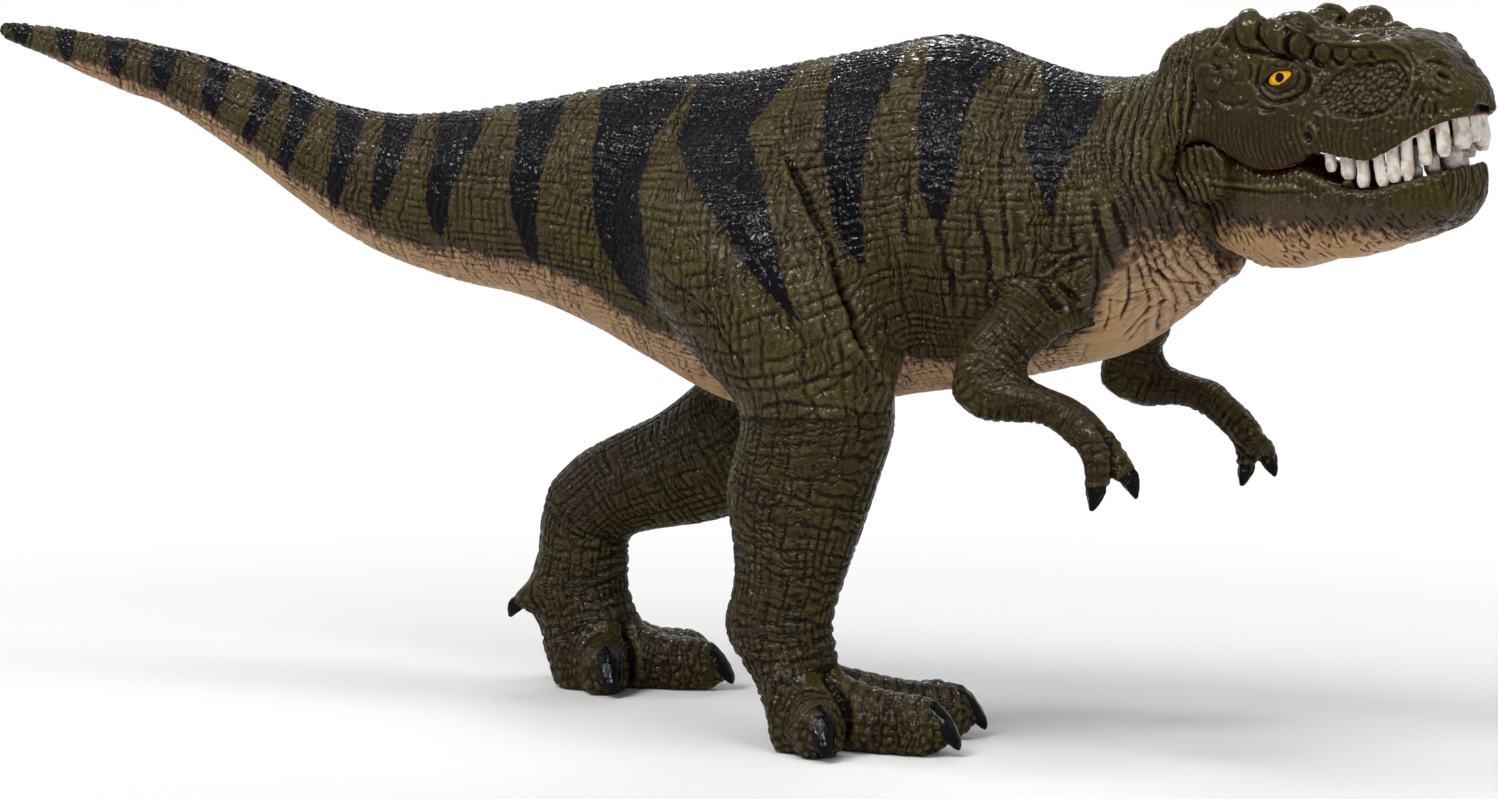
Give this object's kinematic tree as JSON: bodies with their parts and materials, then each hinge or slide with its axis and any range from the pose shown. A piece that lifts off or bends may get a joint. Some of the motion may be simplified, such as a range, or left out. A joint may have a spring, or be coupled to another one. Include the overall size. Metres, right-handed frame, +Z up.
{
  "type": "toy dinosaur figure",
  "caption": "Striding meat-eating dinosaur figure for pretend play, with striped olive skin, bared teeth and a lower jaw that opens on a hinge.",
  "frame": {"origin": "on the ground below the middle of the figure's outer box", "axes": "+X the way the figure faces, from tail to snout, +Y its left side, +Z up"},
  "size_m": [0.2894, 0.0772, 0.1268],
  "materials": {
    "skin": "satin painted olive green with glossy black stripes, a brown wash in the wrinkles and a tan belly",
    "jaw_skin": "satin painted olive at the lip fading to tan below",
    "teeth": "satin ivory",
    "tongue": "glossy dark pink",
    "eyes": "glossy amber with a black pupil",
    "claws": "glossy black",
    "pin": "bright"
  },
  "bodies": {
    "figure": {"torso": "skin", "tail": "skin", "head": "skin", "upper_teeth": "teeth", "jaw_pin": "pin", "right_eye": "eyes", "right_lower_leg": "skin", "right_arm": "skin", "right_outer_claw": "claws", "right_middle_claw": "claws", "right_inner_claw": "claws", "right_spur_claw": "claws", "right_outer_finger_claw": "claws", "right_inner_finger_claw": "claws", "left_eye": "eyes", "left_lower_leg": "skin", "left_arm": "skin", "left_outer_claw": "claws", "left_middle_claw": "claws", "left_inner_claw": "claws", "left_spur_claw": "claws", "left_outer_finger_claw": "claws", "left_inner_finger_claw": "claws"},
    "jaw": {"lower_jaw": "jaw_skin", "lower_teeth": "teeth", "tongue": "tongue"}
  },
  "joints": [
    {"name": "jaw_hinge", "type": "hinge", "parent": "figure", "child": "jaw", "pos_m": [0.10438, -0.00726, 0.09498], "axis": [0.3333, 0.937, 0.1043], "range_deg": [0, 22]}
  ]
}
